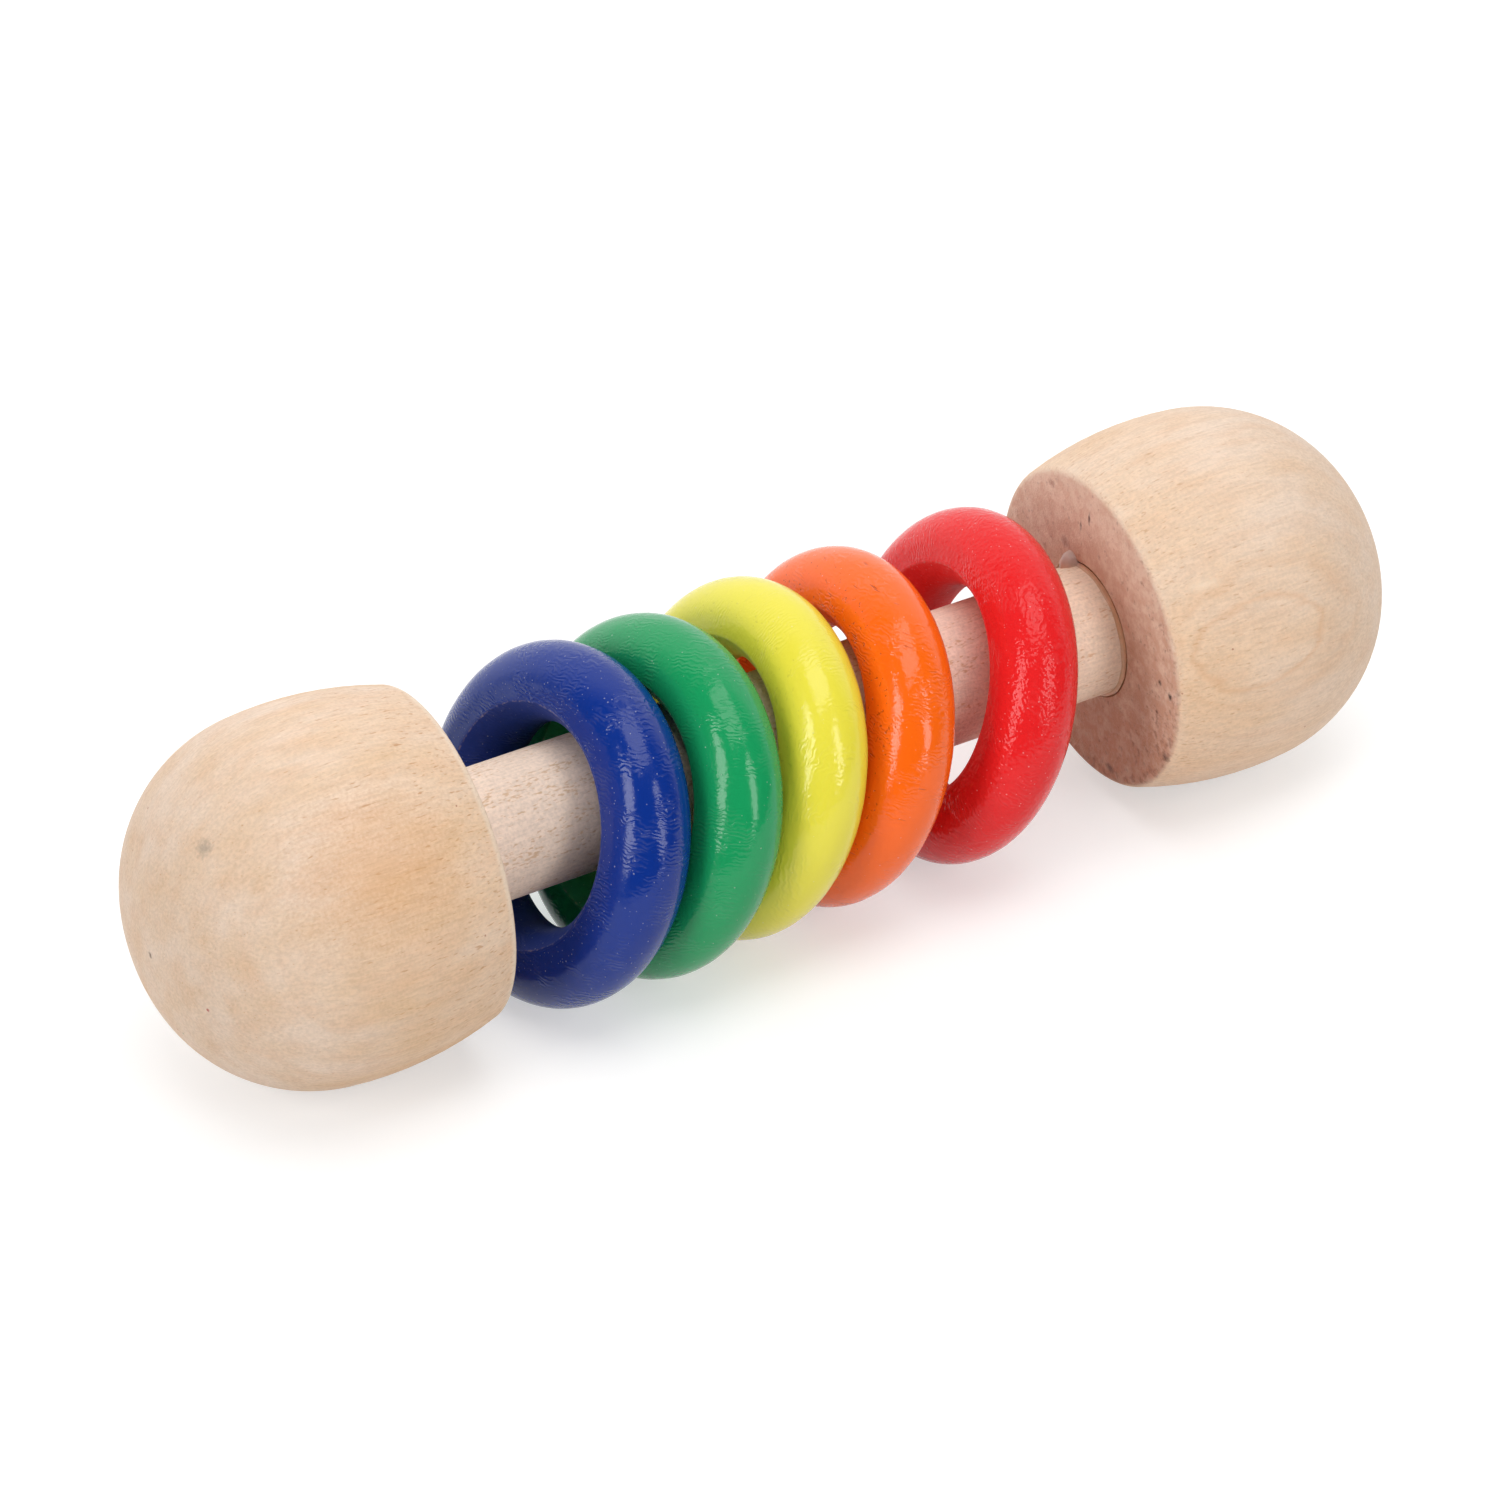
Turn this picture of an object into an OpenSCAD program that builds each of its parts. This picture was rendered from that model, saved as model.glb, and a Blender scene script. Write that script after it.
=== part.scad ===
// Ring rattle for a baby: two turned knobs glued to a dowel that carries five loose lacquered rings.
// X runs along the dowel, Z is up, and the origin is on the table under the middle of the dowel.
// The rings are modelled as they lie on a table: each stands on its edge and leans on the dowel.

/* [Knobs] */
// Largest diameter of a knob
knob_d = 40; // [36:0.5:46]
// Length of a knob, from its flat face to its crown
knob_len = 33.3; // [29:0.1:38]
// Distance of a knob's widest place from its flat face
knob_widest = 12.7; // [10:0.1:16]
// Radius of the swelling flank
flank_r = 40; // [34:1:60]
// Radius of the shoulder between flank and crown
shoulder_r = 18; // [13:0.5:19]
// Radius of the crown
crown_r = 29; // [25:0.5:36]
// Radius of the broken edge round the flat face
rim_round = 1; // [0.4:0.1:2]

/* [Dowel] */
// Diameter of the dowel
dowel_d = 14.5; // [12:0.1:16]
// Length of dowel that shows between the knobs
grip_len = 79; // [76:0.5:110]
// Chamfer on the ends of the dowel
dowel_chamfer = 1.2; // [0.5:0.1:2]

/* [Glued joints] */
// Depth of the drilled socket, without the drill point
socket_depth = 18; // [12:0.5:21]
// Included angle of the drill point at the end of the socket
drill_angle = 118; // [90:1:140]
// Radial room for glue between dowel and socket
glue_film = 0.15; // [0.1:0.05:0.3]
// Countersink at the mouth of the socket
socket_lead = 0.4; // [0.2:0.1:0.8]
// Room left between the end of the dowel and the end of the socket
end_room = 0.8; // [0.4:0.1:2]
// Width of the bead of glue round the dowel at the knob's face
glue_bead = 0.8; // [0.8:0.1:1.4]
// Radius of the drop of glue that was squeezed out on the right
glue_drop = 1.1; // [0.8:0.1:1.6]

/* [Rings] */
// Bore of a ring at its narrowest, half way through
ring_bore = 21.4; // [20.4:0.1:24]
// How far the bore swells inwards between its two mouths
bore_swell = 2.2; // [1:0.1:3]
// Thickness of a ring from its narrowest bore to its outside
ring_wall = 8.5; // [7.6:0.1:9.4]
// Width of a ring along its own axis
ring_width = 9.2; // [8.2:0.1:10.4]
// Softened edge at each mouth of the bore
ring_edge = 0.4; // [0.2:0.1:0.8]
// Room kept between a leaning ring and the dowel
bore_gap = 0.4; // [0.35:0.05:1]

/* [Hidden] */
$fn = 96;

WOOD = "#dcbea5";
DOWEL_WOOD = "#e6d2c0";
GLUE = "#e0c890";

// How the five rings lie, from left to right
// Room that each leaning ring keeps above the dowel, on top of bore_gap
RING_EASE = [0.06, 0.14, 0.06, 0.08, 0.03];
// Turn of each ring about the upright, in degrees
RING_TURN = [6.3, 6.3, 1, -1.6, -5];
// Sideways place of each ring, as a share of the bore's slack on the dowel
RING_SIDE = [0.03, -0.13, 0.17, 0.19, 0.09];
// Shares of the free play: before the first ring, between rings and after the last
PLAY_SHARE = [23.2, 3, 2.3, 3.3, 29.3, 38.9];
// Where the squeezed-out drop sits round the dowel, in degrees from the top towards the back
DROP_ANGLE = 27;
// How far the wedge of a rounded corner reaches, in radii
CORNER_REACH = 3;

knob_r = knob_d / 2;
dowel_r = dowel_d / 2;
socket_r = dowel_r + glue_film;
drill_point = socket_r / tan(drill_angle / 2);
dowel_len = grip_len + 2 * (socket_depth - end_room);
knob_face = grip_len / 2;
drop_stand = 0.7 * glue_drop;
play_total = sum(PLAY_SHARE);

// Centres of the knob's three arcs and of the broken edge, as radius and distance from the face
flank_c = [knob_r - flank_r, knob_widest];
crown_c = [0, knob_len - crown_r];
shoulder_c = outer_crossing(flank_c, flank_r - shoulder_r, crown_c, crown_r - shoulder_r);
rim_c = [flank_c[0] + sqrt(pow(flank_r - rim_round, 2) - pow(knob_widest - rim_round, 2)), rim_round];

// Places where those arcs run into each other
rim_to_flank = on_arc(flank_c, flank_r, rim_c);
flank_to_shoulder = on_arc(flank_c, flank_r, shoulder_c);
shoulder_to_crown = on_arc(crown_c, crown_r, shoulder_c);

// Section of a ring: half round outside, short flat sides, and a bore that swells inwards
bore_r = ring_bore / 2;
ring_r = bore_r + ring_wall;
round_r = ring_width / 2;
round_c = ring_r - round_r;
swell_r = (pow(round_r, 2) + pow(bore_swell, 2)) / (2 * bore_swell);
swell_c = bore_r + swell_r;
edge_c = [
    swell_c - sqrt(pow(swell_r - ring_edge, 2) - pow(round_r - ring_edge, 2)),
    round_r - ring_edge
];
edge_to_bore = on_arc([swell_c, 0], swell_r, edge_c);

// From the round that a ring stands on to the round of its bore above the dowel
lean_reach = round_c + swell_c;

// Free play of the five rings along the dowel
stack_len = ring_reach(0) + ring_reach(4) + sum([for (i = [0:3]) touch_pitch(i)]);
free_play = grip_len - stack_len;

function sum(list) = list * [for (item = list) 1];

// Point on a circle in the direction of another point
function on_arc(centre, radius, towards) = centre + radius * (towards - centre) / norm(towards - centre);

// Crossing of two circles that lies further from the axis
function outer_crossing(c0, r0, c1, r1) =
    let (
        apart = norm(c1 - c0),
        along = (c1 - c0) / apart,
        foot = (apart * apart + r0 * r0 - r1 * r1) / (2 * apart),
        off = sqrt(r0 * r0 - foot * foot)
    )
    c0 + foot * along + off * [-along[1], along[0]] * (along[1] < 0 ? 1 : -1);

// A ring stands on the table and leans until the swell of its bore nearly meets the dowel.
// One with too small a bore to reach the table hangs upright on the dowel instead.
function lean_need(i) = knob_r + dowel_r + bore_gap + RING_EASE[i] + swell_r - round_r;
function ring_stands(i) = lean_need(i) <= lean_reach;
function ring_lean(i) = ring_stands(i) ? acos(lean_need(i) / lean_reach) : 0;

function ring_axis(i) = [
    cos(RING_TURN[i]) * cos(ring_lean(i)),
    sin(RING_TURN[i]) * cos(ring_lean(i)),
    -sin(ring_lean(i))
];

// Half the length of dowel that a leaning ring takes up
function ring_reach(i) = round_c * sqrt(1 - pow(ring_axis(i)[0], 2)) + round_r;

// Distance along the dowel from one ring to the next when they touch
function touch_pitch(i) =
    (ring_width + round_c * norm(cross(ring_axis(i), ring_axis(i + 1))))
    / min(ring_axis(i)[0], ring_axis(i + 1)[0]);

// Centre of a ring: along the dowel, sideways, and above the table
function ring_x(i) =
    -knob_face + ring_reach(0)
    + free_play * sum([for (k = [0:i]) PLAY_SHARE[k]]) / play_total
    + (i == 0 ? 0 : sum([for (k = [0:i - 1]) touch_pitch(k)]));
function ring_y(i) = RING_SIDE[i] * (bore_r - dowel_r);
function ring_z(i) =
    ring_stands(i) ? round_c * cos(ring_lean(i)) + round_r : knob_r + dowel_r + bore_gap - bore_r;

// What a rounded corner cuts away: the wedge between two points of an arc, outside the arc
module corner_waste(centre, radius, from, to) {
    difference() {
        polygon([centre, centre + CORNER_REACH * (from - centre), centre + CORNER_REACH * (to - centre)]);
        translate(centre) circle(r = radius);
    }
}

// Half of the knob's section, with the flat face on the X axis
module knob_section() {
    difference() {
        intersection() {
            square([knob_d, 2 * knob_len]);
            translate(flank_c) circle(r = flank_r);
            translate(crown_c) circle(r = crown_r);
        }
        corner_waste(shoulder_c, shoulder_r, flank_to_shoulder, shoulder_to_crown);
        corner_waste(rim_c, rim_round, [rim_c[0], 0], rim_to_flank);
    }
}

// Drilled socket, opening downwards at the flat face
module socket() {
    cylinder(r = socket_r, h = socket_depth);
    translate([0, 0, socket_depth]) cylinder(r1 = socket_r, r2 = 0, h = drill_point);
    cylinder(r1 = socket_r + socket_lead, r2 = socket_r, h = socket_lead);
}

module turned_knob() {
    difference() {
        rotate_extrude() knob_section();
        socket();
    }
}

// Cured glue: a film in the socket, the filled countersink and a bead on the face
module glue_sleeve() {
    rotate_extrude() polygon([
        [dowel_r, -glue_bead],
        [dowel_r + glue_bead, 0],
        [socket_r + socket_lead, 0],
        [socket_r, socket_lead],
        [socket_r, socket_depth - end_room - dowel_chamfer],
        [dowel_r, socket_depth - end_room - dowel_chamfer]
    ]);
}

// Drop of glue that sits on the dowel against the face
module squeezed_drop() {
    difference() {
        rotate([0, 0, 180 - DROP_ANGLE])
            translate([dowel_r + drop_stand, 0, -glue_drop / 2])
                sphere(r = glue_drop);
        cylinder(r = dowel_r, h = 4 * glue_drop, center = true);
        cylinder(r = knob_r, h = 2 * glue_drop);
    }
}

// Places a piece that was turned about Z at the right or left end of the dowel
module at_right_face() {
    translate([knob_face, 0, knob_r]) rotate([0, 90, 0]) children();
}

module at_left_face() {
    translate([-knob_face, 0, knob_r]) rotate([0, -90, 0]) children();
}

// Half of a ring's section, standing off the axis by the bore
module ring_section() {
    difference() {
        intersection() {
            translate([bore_r, -round_r]) square([2 * ring_wall, ring_width]);
            translate([swell_c, 0]) circle(r = swell_r);
        }
        outer_waste();
        bore_corner();
        mirror([0, 1]) bore_corner();
    }
}

// What the round outside cuts away
module outer_waste() {
    difference() {
        translate([round_c, -ring_width]) square([2 * ring_wall, 2 * ring_width]);
        translate([round_c, 0]) circle(r = round_r);
    }
}

module bore_corner() {
    corner_waste(edge_c, ring_edge, [edge_c[0], round_r], edge_to_bore);
}

// One ring where it lies
module loose_ring(i) {
    translate([ring_x(i), ring_y(i), ring_z(i)])
        rotate([0, 90 + ring_lean(i), RING_TURN[i]])
            rotate_extrude() ring_section();
}

module handle_dowel() {
    color(DOWEL_WOOD)
        translate([-dowel_len / 2, 0, knob_r]) rotate([0, 90, 0]) {
            cylinder(r1 = dowel_r - dowel_chamfer, r2 = dowel_r, h = dowel_chamfer);
            translate([0, 0, dowel_chamfer]) cylinder(r = dowel_r, h = dowel_len - 2 * dowel_chamfer);
            translate([0, 0, dowel_len - dowel_chamfer])
                cylinder(r1 = dowel_r, r2 = dowel_r - dowel_chamfer, h = dowel_chamfer);
        }
}

module left_knob() {
    color(WOOD) at_left_face() turned_knob();
}

module right_knob() {
    color(WOOD) at_right_face() turned_knob();
}

module left_glue_joint() {
    color(GLUE) at_left_face() glue_sleeve();
}

module right_glue_joint() {
    color(GLUE) at_right_face() union() {
        glue_sleeve();
        squeezed_drop();
    }
}

module blue_ring() {
    color("#213984") loose_ring(0);
}

module green_ring() {
    color("#23995b") loose_ring(1);
}

module yellow_ring() {
    color("#e8db4a") loose_ring(2);
}

module orange_ring() {
    color("#fb6e20") loose_ring(3);
}

module red_ring() {
    color("#df2e2e") loose_ring(4);
}

handle_dowel();
left_knob();
right_knob();
left_glue_joint();
right_glue_joint();
blue_ring();
green_ring();
yellow_ring();
orange_ring();
red_ring();
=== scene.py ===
"""Ring rattle: the looks of a turned wooden baby rattle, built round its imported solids."""

from math import acos, atan2, cos, hypot, pi, radians, remainder, sin, sqrt, tan

import bmesh
import bpy
from mathutils import Matrix, Vector, noise


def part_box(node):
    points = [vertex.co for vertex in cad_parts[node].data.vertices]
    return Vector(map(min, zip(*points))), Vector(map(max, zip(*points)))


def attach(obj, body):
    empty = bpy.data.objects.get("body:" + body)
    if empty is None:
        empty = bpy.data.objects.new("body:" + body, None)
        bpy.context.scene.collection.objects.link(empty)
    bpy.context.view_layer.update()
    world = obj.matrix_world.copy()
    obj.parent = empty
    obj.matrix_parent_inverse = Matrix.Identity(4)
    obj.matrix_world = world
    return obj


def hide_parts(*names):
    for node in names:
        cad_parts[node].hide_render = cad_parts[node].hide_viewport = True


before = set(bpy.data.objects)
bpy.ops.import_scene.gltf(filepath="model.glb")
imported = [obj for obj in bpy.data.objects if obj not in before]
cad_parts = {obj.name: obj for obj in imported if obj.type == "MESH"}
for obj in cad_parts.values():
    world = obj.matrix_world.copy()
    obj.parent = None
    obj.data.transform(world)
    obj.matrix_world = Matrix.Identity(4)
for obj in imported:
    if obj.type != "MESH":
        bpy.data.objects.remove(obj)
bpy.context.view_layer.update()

bl_info = {
    "name": "Ring rattle",
    "version": (1, 0, 0),
    "blender": (4, 5, 0),
    "location": "3D View > Sidebar > Rattle",
    "description": "Turned birch knobs on a dowel with five lacquered rings",
    "category": "Add Mesh",
}

MM = 0.001
# Mapping scale that turns metres into millimetres
IN_MM = (1 / MM,) * 3
# A wave texture at scale 1 repeats after this length
WAVE = 0.314

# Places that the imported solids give
KNOB_LOW, KNOB_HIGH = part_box("right_knob")
DOWEL_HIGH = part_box("handle_dowel")[1]
AXIS_Z = (KNOB_LOW.z + KNOB_HIGH.z) / 2
KNOB_FACE = KNOB_LOW.x

# How finely curved pieces are cut, and how near to each other points are merged
TURNS = 256
ARC_STEP = radians(3)
EDGE_STEP = radians(10)
BEAD_STEP = radians(15)
SHARP_ANGLE = radians(35)
MERGE = 1e-7

DRILL_POINT = radians(118)

# Figure of the birch in millimetres, along the grain and across it
BLOTCH = (12, 5, 5)
PEACH_STREAK = (7, 2.4, 2.4)
KNOB_PORE = (1.5, 0.25, 0.25)
DOWEL_PORE = (0.7, 0.25, 0.25)
PORE_ROW = (16, 1.6, 1.6)
# Fibres are 0.1 mm wide on the real wood, and are drawn wider to show
FIBRE = (3, 0.3, 0.3)
SANDED_GRIT = 0.35
GROWTH_LAYER = 2.6
FRECKLE_CELL = 4.0
FACE_MOTTLE = 1.6
FACE_PIT = 0.7
# Middle of the sound part of the flat faces, which lies above the dowel's axis and behind it
SOUND_Y = 5
SOUND_Z = 4 + AXIS_Z / MM

# Patterns of the lacquer in millimetres
FOLD_PATCH = 4.0
PEBBLE = 0.5
DUST_CELL = 0.45
EDGE_PIT = 0.45
# Folds lie 0.3 mm apart on the real rings, and are drawn wider to show
FOLD = 0.42
# A brush hardly reaches the bore: lacquer is glossy past the first distance from the ring's axis, and dull
# within the second
GLOSSY_PAST = 13.4 * MM
DULL_WITHIN = 12.7 * MM
BORE_ROUGHNESS = 0.6

# Tints beside the main colours
PEACH_WOOD = "#dfb088"
LATE_WOOD = "#cf9e74"
LOOP_WOOD = "#d59a62"
RIM_HIGHLIGHT = "#f0dfcb"
PINK_BOUNCE_WOOD = "#f6d5c4"
YELLOW_WOOD = "#f3dec4"
KNOB_PORE_TAN = "#b97f4b"
DOWEL_PORE_TAN = "#cf9f68"
FACE_PIT_BROWN = "#84503c"
RED_FRECKLE = "#a2543c"
GREEN_FRECKLE = "#4c6a4c"
AMBER_GLUE = "#d0a882"
RUBBED_EDGE = "#c4b0a6"

# Knobs: name, end of the dowel, warmer colour, how far off the middle of the growth rings lies in
# millimetres, and how strongly growth layers, the painted highlight on the rim and pores show
KNOBS = (
    ("left", -1, "birch_honey", (0, 160, -70), 0.07, 0.5, 0.6),
    ("right", 1, "birch_rose", (0, -190, 39), 0.05, 0.12, 0.4),
)
# Loops of growth layers on the knobs: middle and half sizes in millimetres, and how strongly they show
KNOB_LOOPS = {
    "left": (),
    "right": (
        ((49.2, -19.0, 25.9), (7.6, 8.0, 4.6), 0.3),
        ((50.5, -19.0, 26.2), (11.5, 12.0, 7.4), 0.15),
    ),
}
# Marks on the knobs, one of them a painted glint: middle and half sizes in millimetres, colour, and how
# strongly they show
KNOB_MARKS = {
    "left": (
        ((-53.1, -15.3, 32.8), (10, 10, 8), "#dba06a", 0.4),
        ((-67.2, -4.7, 34.0), (1.1, 1.1, 1.1), "#998b7b", 0.65),
        ((-72.7, -1.9, 20.9), (0.4, 0.35, 0.45), "#5f4126", 0.8),
        ((-70.5, -10.3, 18.7), (0.25, 0.25, 0.25), "#a8322a", 0.9),
        ((-69.8, -10.9, 19.6), (0.2, 0.2, 0.2), "#a8322a", 0.8),
    ),
    "right": (
        # Painted highlight: pale glints where torn grain on the flank catches the light
        ((44.5, -14.6, 32.6), (2.4, 0.9, 0.6), "#f4e0c8", 0.45),
        ((39.5, 0.4, 34.0), (0.5, 0.24, 0.9), "#46291f", 0.85),
        ((39.5, 2.0, 32.2), (0.5, 0.22, 0.7), "#56362a", 0.75),
        ((39.5, 5.0, 28.4), (0.5, 1.0, 0.8), "#8a4f3d", 0.6),
        ((39.5, 7.9, 34.3), (0.5, 0.7, 0.6), "#94604c", 0.6),
        ((39.5, -16.2, 20.9), (0.5, 0.45, 0.55), "#2c1710", 0.9),
        ((39.5, -14.2, 21.5), (0.5, 0.36, 0.4), "#3a2016", 0.85),
        ((39.5, -13.8, 17.5), (0.5, 0.3, 0.3), "#3a2016", 0.8),
        ((39.5, -15.7, 12.6), (0.5, 0.7, 0.6), "#4b2a1d", 0.8),
        ((39.5, -5.1, 4.6), (0.5, 0.9, 0.6), "#4b2a1d", 0.75),
    ),
}

# Bead of glue: how hollow its face is, its mean share of the solid's bead, and how far and often that sways
BEAD_HOLLOW = 1.1
BEAD_SHARE = 0.45
BEAD_SWAY = 0.2
BEAD_WAVES = 3
# Where the squeezed-out drop of glue sits round the dowel, from the top towards the back, and its size
DROP_ANGLE = radians(27)
DROP_SPREAD = radians(8.5)
DROP_SIZE = 1.6 * MM
DROP_REACH = 8 * MM
DROP_PLACE = (KNOB_FACE, DROP_REACH * sin(DROP_ANGLE), AXIS_Z + DROP_REACH * cos(DROP_ANGLE))
GLUE_CLOUD = 0.8 * MM
GLUE_ROUGHNESS = 0.35

# Rings from left to right: colour name, turn about the upright in degrees as in the solids, angle of the
# wood's grain in the ring, roughness and specular level of the lacquer, and how strongly folds, pebbling,
# dust and cracks show in it
RINGS = (
    ("blue", 6.3, 8, 0.16, 0.33, 0.5, 0.06, 1.0, 0.25),
    ("green", 6.3, 20, 0.15, 0.35, 0.35, 0.08, 0.4, 0.3),
    ("yellow", 1.0, 95, 0.17, 0.42, 0.3, 0.12, 0.2, 0.25),
    ("orange", -1.6, 4, 0.16, 0.4, 0.5, 0.18, 0.4, 1.0),
    ("red", -5.0, 140, 0.12, 0.23, 0.35, 0.6, 1.2, 0.15),
)
# Height of the low swells that a brush leaves in the lacquer, and their spread
LACQUER_SWELL = 0.02 * MM
LACQUER_SPREAD = 2.2 * MM
# How far the swells and the patterns are shifted from one ring to the next, so that no two are alike
SWELL_SHIFT = 10.0
PATTERN_SHIFT = 31.0

# Softboxes: name, azimuth and elevation in degrees, width and height in metres
SOFTBOXES = (
    ("left", -76, 28, 0.42, 0.85),
    ("right", 18, 29, 0.3, 0.85),
    ("top", 0, 80, 0.9, 0.7),
)
SOFTBOX_AWAY = 1.2
# Table top: half its side in metres, and the share of light that it throws back at the object. The camera
# and reflections see a smaller share and a glow, which together are white
TABLE_HALF = 2.0
TABLE_BOUNCE = 0.8
TABLE_SEEN = 0.6
TABLE_GLOW = 0.5
# Cosines of the angle from the camera's side at which the room's back ends and its front begins
ROOM_BACK_END = -0.45
ROOM_FRONT_START = -0.05

# The photograph's camera: azimuth, elevation and roll, then distance and offset from the dowel's middle
CAMERA_AZIMUTH = radians(-29.279)
CAMERA_ELEVATION = radians(36.043)
CAMERA_ROLL = radians(-0.656)
CAMERA_AWAY = 638.0 * MM
CAMERA_OFFSET = (-2.16 * MM, -1.319 * MM)
CAMERA_SENSOR = 36.0
CAMERA_CLIP = 0.01


def linear(code):
    """Linear colour of an sRGB hex value."""
    parts = [int(code[i:i + 2], 16) / 255 for i in (1, 3, 5)]
    return [c / 12.92 if c <= 0.04045 else ((c + 0.055) / 1.055) ** 2.4 for c in parts]


def opaque(colour):
    """A colour with full alpha, as a socket takes it."""
    return (*colour, 1.0)


def length(name, text, millimetres):
    """A size that a user can change."""
    return bpy.props.FloatProperty(
        name=name, description=text, default=millimetres * MM, unit="LENGTH", subtype="DISTANCE", precision=5
    )


def paint(name, text, code):
    """A colour that a user can change."""
    return bpy.props.FloatVectorProperty(
        name=name, description=text, default=linear(code), subtype="COLOR", size=3, min=0, max=1
    )


def power(name, watts):
    """The power of a softbox."""
    return bpy.props.FloatProperty(name=name, description="Power of the light", default=watts, unit="POWER")


class RattleSizes(bpy.types.PropertyGroup):
    """Sizes of the turned pieces."""

    knob_radius: length("Knob radius", "Largest radius of a knob", (KNOB_HIGH.z - AXIS_Z) / MM)
    knob_length: length("Knob length", "From flat face to crown", (KNOB_HIGH.x - KNOB_LOW.x) / MM)
    knob_widest: length("Widest place", "Distance of the widest place from the flat face", 12.7)
    flank_radius: length("Flank radius", "Radius of the swelling flank", 40)
    shoulder_radius: length("Shoulder radius", "Radius between flank and crown", 18)
    crown_radius: length("Crown radius", "Radius of the crown", 29)
    rim_round: length("Rim", "Broken edge round the flat face", 1)
    dowel_radius: length("Dowel radius", "Radius of the dowel", (DOWEL_HIGH.z - AXIS_Z) / MM)
    dowel_chamfer: length("Dowel chamfer", "Chamfer on the ends of the dowel", 1.2)
    socket_depth: length("Socket depth", "Depth of the drilled socket", 18)
    socket_lead: length("Socket lead", "Countersink at the mouth of the socket", 0.4)
    end_room: length("End room", "Room between the end of the dowel and of the socket", 0.8)
    glue_film: length("Glue film", "Glue between dowel and socket", 0.15)
    glue_bead: length("Glue bead", "Bead of glue round the dowel", 0.8)
    ring_bore: length("Ring bore", "Radius of a ring's bore at its narrowest", 10.7)
    bore_swell: length("Bore swell", "How far the bore swells inwards between its mouths", 2.2)
    ring_wall: length("Ring wall", "From a ring's bore to its outside", 8.5)
    ring_width: length("Ring width", "Width of a ring along its axis", 9.2)
    ring_edge: length("Ring edge", "Softened edge at each mouth of the bore", 0.4)


class RattleColours(bpy.types.PropertyGroup):
    """Colours of the finishes."""

    birch_pale: paint("Pale birch", "Paler parts of the knobs", "#ead1bb")
    birch_honey: paint("Honey birch", "Warmer parts of the left knob", "#e0bb94")
    birch_rose: paint("Rose birch", "Warmer parts of the right knob", "#e8c5a3")
    # The flat faces go from the pale colour at the top to the brown at the bottom, partly the end grain's
    # own colour and partly painted shade
    face_pale: paint("Pale end grain", "Upper part of the flat faces", "#e4cab2")
    face_brown_shaded: paint("Brown end grain", "Lower part of the flat faces", "#c18c6f")
    dowel: paint("Dowel", "Pale wood of the dowel", "#f7dfcc")
    glue: paint("Glue", "Drop of cured wood glue", "#cfb9ac")
    blue: paint("Blue", "Lacquer of the first ring", "#0c3088")
    green: paint("Green", "Lacquer of the second ring", "#18995b")
    yellow: paint("Yellow", "Lacquer of the third ring", "#ece046")
    orange: paint("Orange", "Lacquer of the fourth ring", "#fc6810")
    red: paint("Red", "Lacquer of the fifth ring", "#e72426")


class RattleStage(bpy.types.PropertyGroup):
    """Light and camera."""

    room_back: bpy.props.FloatProperty(
        name="Back of room", description="Level of the light behind the object", default=1.25
    )
    room_front: bpy.props.FloatProperty(
        name="Front of room", description="Level of the light behind the camera", default=0.04
    )
    left: power("Left softbox", 6.9)
    right: power("Right softbox", 4.3)
    top: power("Top softbox", 5.9)
    lens: bpy.props.FloatProperty(
        name="Lens", description="Focal length on a 36 mm sensor", default=145.449, unit="CAMERA"
    )


def add(tree, kind, links=None, **settings):
    """Add a node with its settings, and fill or link its inputs."""
    made = tree.nodes.new(kind)
    for name, value in settings.items():
        setattr(made, name, value)
    for key, value in (links or {}).items():
        if isinstance(value, bpy.types.NodeSocket):
            tree.links.new(value, made.inputs[key])
        else:
            made.inputs[key].default_value = value
    return made


def finish(name):
    """A new material with one Principled shader: material, tree and shader."""
    made = bpy.data.materials.new(name)
    made.use_nodes = True
    return made, made.node_tree, made.node_tree.nodes["Principled BSDF"]


def repeats(sizes):
    """Mapping scale that gives a pattern these sizes."""
    return [1 / size for size in sizes]


def off_spot(tree, grain, middle, half):
    """How far off the middle of a spot a point lies, in the spot's half sizes."""
    place = add(tree, "ShaderNodeMapping", {
        "Vector": grain, "Scale": repeats(half), "Location": [-m / h for m, h in zip(middle, half)]})
    return add(tree, "ShaderNodeVectorMath", {0: place.outputs[0]}, operation="LENGTH").outputs["Value"]


def birch_figure(tree):
    """Birch that runs along X: place in millimetres, streaks of fibre and a fine sanded speckle."""
    place = add(tree, "ShaderNodeTexCoord").outputs["Object"]
    grain = add(tree, "ShaderNodeMapping", {"Vector": place, "Scale": IN_MM}).outputs[0]
    drawn_out = add(tree, "ShaderNodeMapping", {"Vector": grain, "Scale": repeats(FIBRE)})
    fibres = add(tree, "ShaderNodeTexNoise", {
        "Vector": drawn_out.outputs[0], "Scale": 1.0, "Detail": 3.0, "Roughness": 0.6})
    grit = add(tree, "ShaderNodeTexNoise", {"Vector": grain, "Scale": 1 / SANDED_GRIT, "Detail": 1.0})
    return grain, fibres.outputs["Fac"], grit.outputs["Fac"]


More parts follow.
